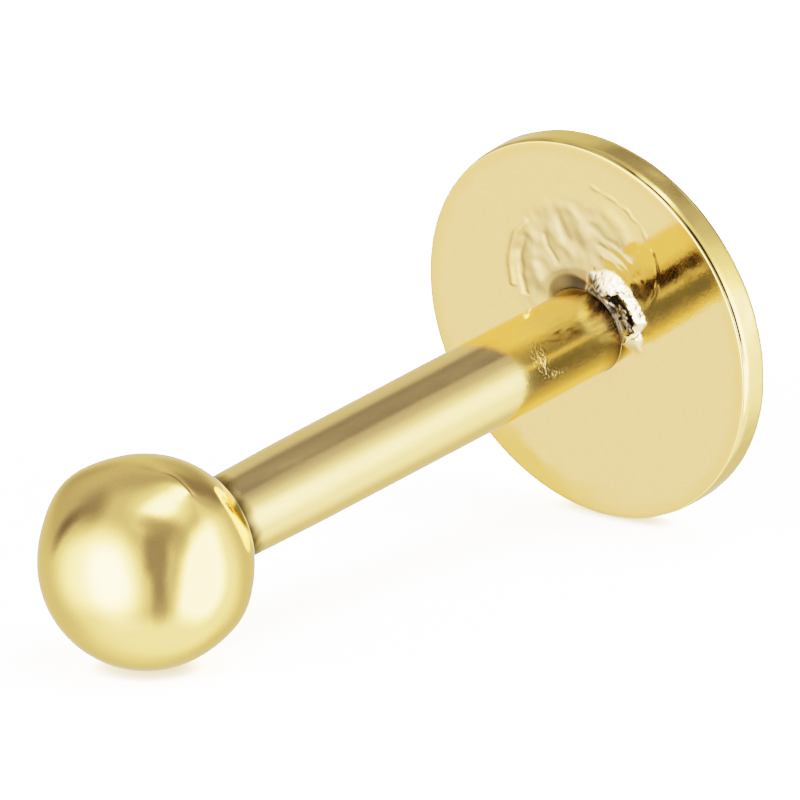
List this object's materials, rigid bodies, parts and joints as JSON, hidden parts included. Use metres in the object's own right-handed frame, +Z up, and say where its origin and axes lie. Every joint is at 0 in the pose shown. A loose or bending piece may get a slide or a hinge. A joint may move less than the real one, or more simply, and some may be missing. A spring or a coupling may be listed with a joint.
{
  "type": "helix stud",
  "caption": "Flat-back ear stud lying on its side: a polished ball that unscrews from a straight post, with a round disc soldered to the post's far end.",
  "frame": {"origin": "on the surface that the stud lies on, under the middle of its length and width", "axes": "+X from the ball towards the disc along the surface, +Z up; the post lies in the XZ plane and rises 7.90 degrees towards the disc"},
  "size_m": [0.0092, 0.0044, 0.0044],
  "materials": {
    "polished_gold": "mirror-polished 14 carat yellow gold",
    "soldered_gold": "polished 14 carat yellow gold post, satin disc and gold solder"
  },
  "bodies": {
    "ball": {"screw_ball": "polished_gold"},
    "post": {"flat_back_post": "soldered_gold"}
  },
  "joints": [
    {"name": "ball_unscrew", "type": "slide", "parent": "ball", "child": "post", "axis": [0.9905, 0, 0.1375], "range_m": [0, 0.004]}
  ]
}
